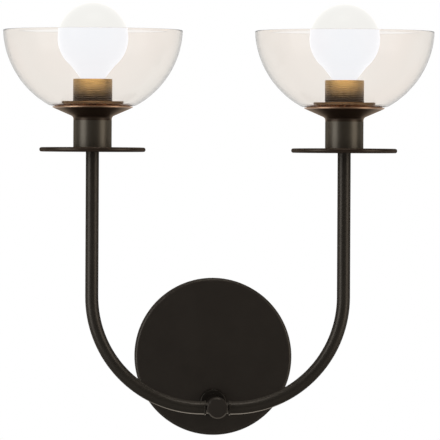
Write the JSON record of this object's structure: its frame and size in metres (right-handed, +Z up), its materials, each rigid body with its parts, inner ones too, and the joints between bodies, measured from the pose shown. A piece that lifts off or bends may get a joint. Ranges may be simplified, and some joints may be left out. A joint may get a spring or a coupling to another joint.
{
  "type": "double arm wall sconce",
  "caption": "Wall sconce with a round canopy, a U of bent tube on a low stem, and glass bowls on cups and drip discs, each round a threaded sleeve with a globe lamp.",
  "frame": {"origin": "centre of the canopy's back rim, on the wall, which is also the centre of the crossbar's two box screw slots", "axes": "+Z up, +Y into the wall, so the front faces -Y; +X is to the right as seen from the front"},
  "size_m": [0.3598, 0.1999, 0.3652],
  "materials": {
    "bronze_paint": "satin dark bronze",
    "aged_brass": "aged, threaded",
    "zinc_steel": "zinc plated",
    "green_screw": "dyed green",
    "tinted_glass": "clear, pale champagne tint",
    "opal_glass": "frosted opal, lit",
    "holder_black": "moulded phenolic",
    "bright_brass": "drawn",
    "lamp_cap_metal": "drawn",
    "bead_glass": "black",
    "solder": "soldered",
    "gasket_rubber": "matt"
  },
  "bodies": {
    "fixture": {"canopy": "bronze_paint", "canopy_screw_left": "bronze_paint", "canopy_screw_right": "bronze_paint", "stem_collar": "bronze_paint", "stem": "bronze_paint", "hub": "bronze_paint", "hub_cap": "bronze_paint", "arm_collar_left": "bronze_paint", "arm_collar_right": "bronze_paint", "arm_left": "bronze_paint", "arm_right": "bronze_paint", "drip_disc_left": "bronze_paint", "drip_disc_right": "bronze_paint", "cup_left": "bronze_paint", "cup_right": "bronze_paint", "seat_dish_left": "bronze_paint", "seat_dish_right": "bronze_paint", "socket_sleeve_left": "aged_brass", "socket_sleeve_right": "aged_brass", "wall_bracket": "zinc_steel", "stem_nut": "zinc_steel", "stem_washer": "zinc_steel", "stem_nipple": "zinc_steel", "hub_nipple": "zinc_steel", "holder_nipple_left": "zinc_steel", "holder_nipple_right": "zinc_steel", "holder_nut_left": "zinc_steel", "holder_nut_right": "zinc_steel", "holder_strip_left": "zinc_steel", "holder_strip_right": "zinc_steel", "ground_screw": "green_screw", "glass_bowl_left": "tinted_glass", "glass_bowl_right": "tinted_glass", "lampholder_left": "holder_black", "lampholder_right": "holder_black", "screw_shell_left": "bright_brass", "screw_shell_right": "bright_brass", "spring_tongue_left": "bright_brass", "spring_tongue_right": "bright_brass", "gasket_left": "gasket_rubber", "gasket_right": "gasket_rubber"},
    "lamp_left": {"lamp_globe_left": "opal_glass", "lamp_cap_left": "lamp_cap_metal", "lamp_bead_left": "bead_glass", "lamp_button_left": "solder"},
    "ring_left": {"shade_ring_left": "aged_brass"},
    "lamp_right": {"lamp_globe_right": "opal_glass", "lamp_cap_right": "lamp_cap_metal", "lamp_bead_right": "bead_glass", "lamp_button_right": "solder"},
    "ring_right": {"shade_ring_right": "aged_brass"}
  },
  "joints": [
    {"name": "lamp_left_out", "type": "slide", "parent": "fixture", "child": "lamp_left", "axis": [0, 0, 1], "range_m": [0, 0.075]},
    {"name": "lamp_right_out", "type": "slide", "parent": "fixture", "child": "lamp_right", "axis": [0, 0, 1], "range_m": [0, 0.075]},
    {"name": "ring_left_turn", "type": "hinge", "parent": "fixture", "child": "ring_left", "pos_m": [-0.105, -0.125, 0.2152], "axis": [0, 0, 1], "range_deg": [0, 3600]},
    {"name": "ring_right_turn", "type": "hinge", "parent": "fixture", "child": "ring_right", "pos_m": [0.105, -0.125, 0.2152], "axis": [0, 0, 1], "range_deg": [0, 3600]}
  ]
}
